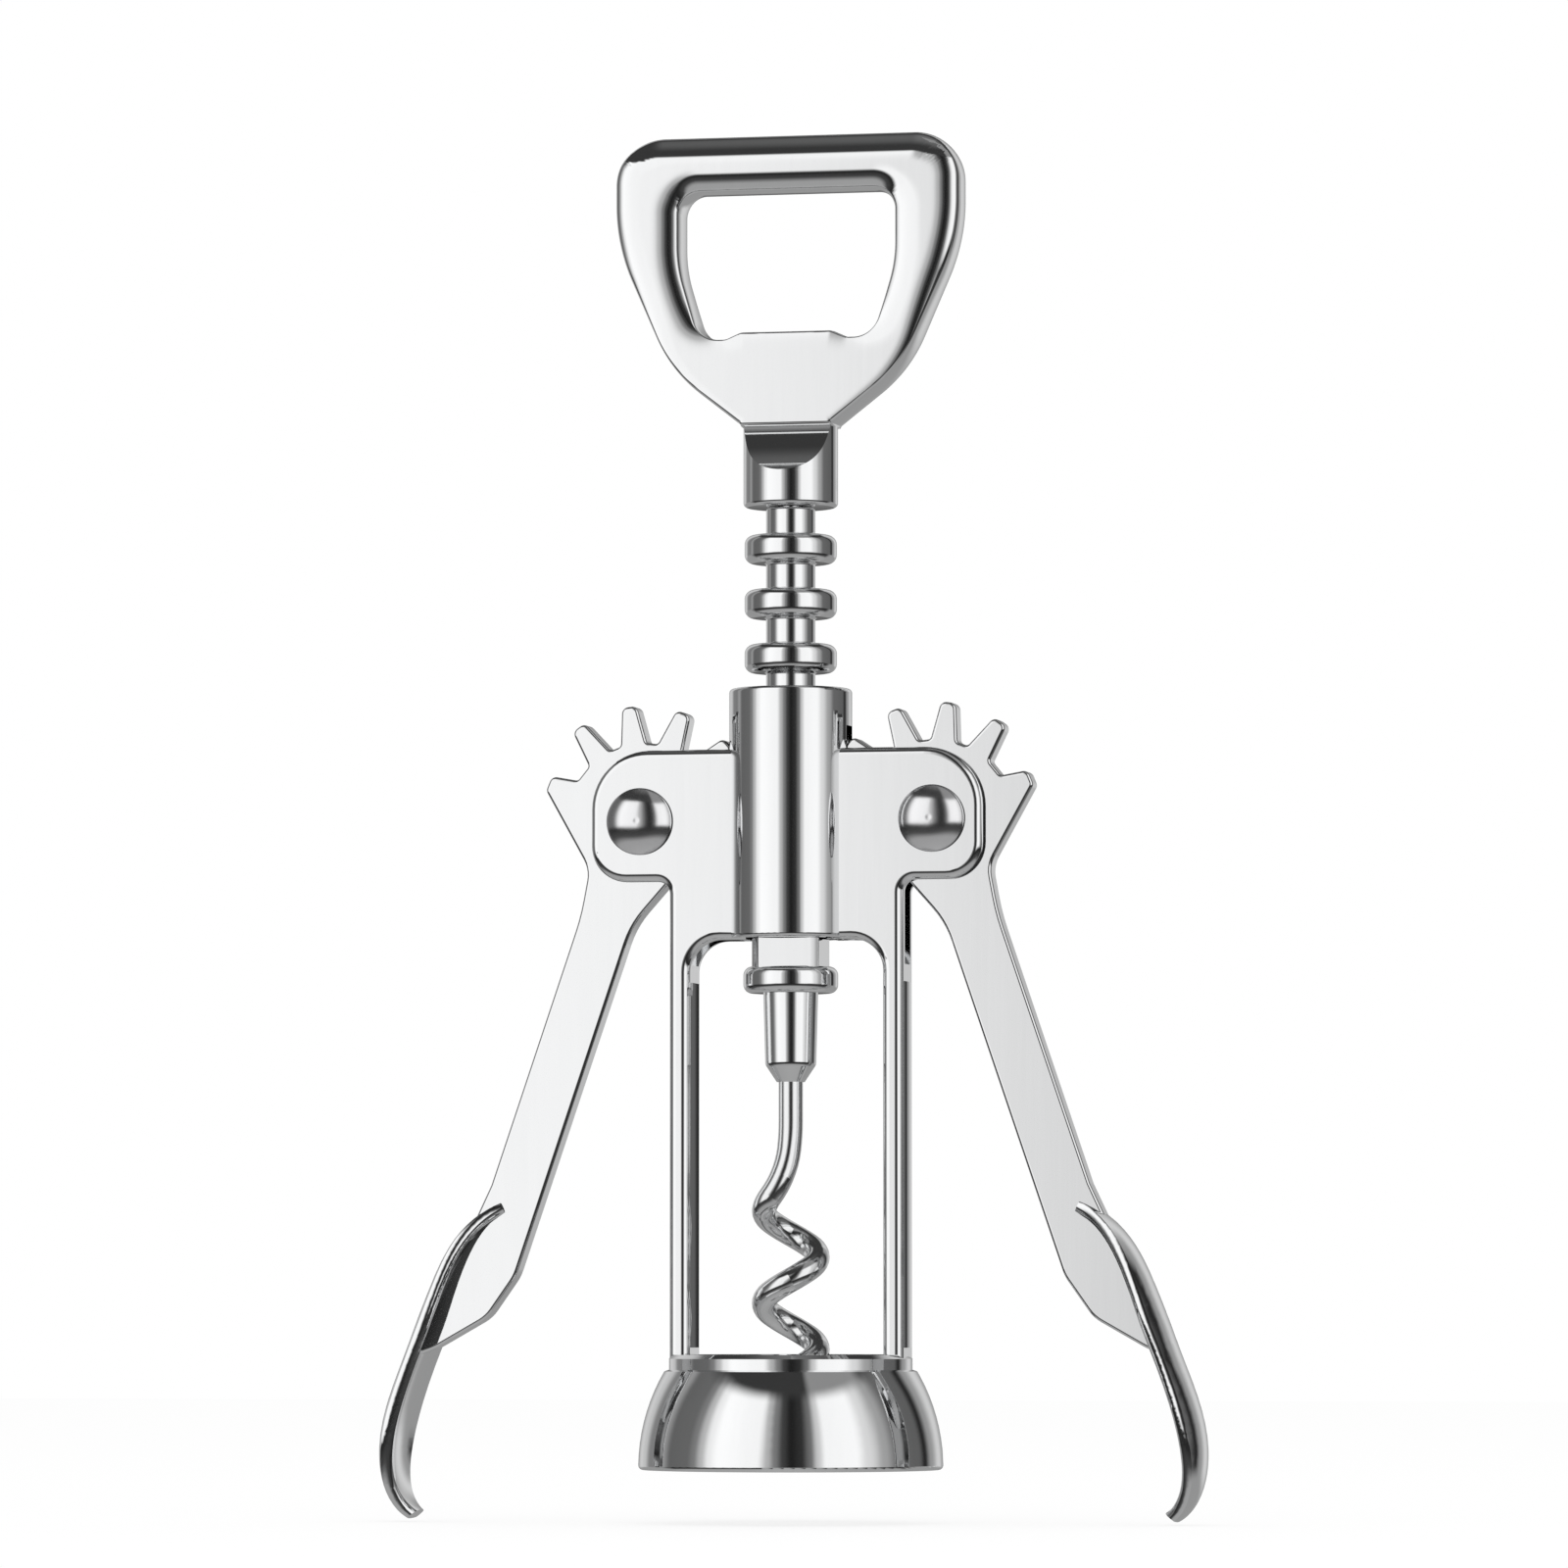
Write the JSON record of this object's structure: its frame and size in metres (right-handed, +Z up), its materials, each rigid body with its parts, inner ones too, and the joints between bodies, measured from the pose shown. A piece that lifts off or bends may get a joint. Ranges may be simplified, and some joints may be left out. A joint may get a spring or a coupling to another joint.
{
  "type": "wing corkscrew",
  "caption": "Chromed corkscrew with geared wing levers that raise a ringed rack, a bell for the bottle's neck, a wire worm and a cap lifter in the handle.",
  "frame": {"origin": "middle of the bell's open mouth, on the axis of the barrel, rack and worm", "axes": "+Z up along the axis to the handle, +X to the right across the two levers, -Y to the front"},
  "size_m": [0.1072, 0.0388, 0.1771],
  "materials": {
    "chromed_casting": "bright chrome plate on a zinc casting",
    "satin_rivet": "satin",
    "worm_wire": "plated steel wire, slightly rougher than the castings"
  },
  "bodies": {
    "frame": {"frame_casting": "chromed_casting", "left_rivet": "satin_rivet", "right_rivet": "satin_rivet"},
    "rack": {"rack_sleeve": "chromed_casting"},
    "spindle": {"opener_handle": "chromed_casting", "worm": "worm_wire", "worm_ferrule": "chromed_casting", "handle_pin": "worm_wire"},
    "left_lever": {"left_lever": "chromed_casting"},
    "right_lever": {"right_lever": "chromed_casting"}
  },
  "joints": [
    {"name": "rack_slide", "type": "slide", "parent": "frame", "child": "rack", "axis": [0, 0, 1], "range_m": [-0.032, 0.0035]},
    {"name": "handle_spin", "type": "hinge", "parent": "rack", "child": "spindle", "pos_m": [0, 0, 0.1], "axis": [0, 0, 1], "continuous": true},
    {"name": "right_lever_pivot", "type": "hinge", "parent": "frame", "child": "right_lever", "pos_m": [0.019, 0, 0.0826], "axis": [0, 1, 0], "range_deg": [-126.7, 13.9]},
    {"name": "left_lever_pivot", "type": "hinge", "parent": "frame", "child": "left_lever", "pos_m": [-0.019, 0, 0.0826], "axis": [0, 1, 0], "range_deg": [-13.9, 126.7]}
  ],
  "couplings": [
    {"joint": "right_lever_pivot", "follows": "rack_slide", "rad_per_m": 69.046},
    {"joint": "left_lever_pivot", "follows": "rack_slide", "rad_per_m": -69.046}
  ]
}
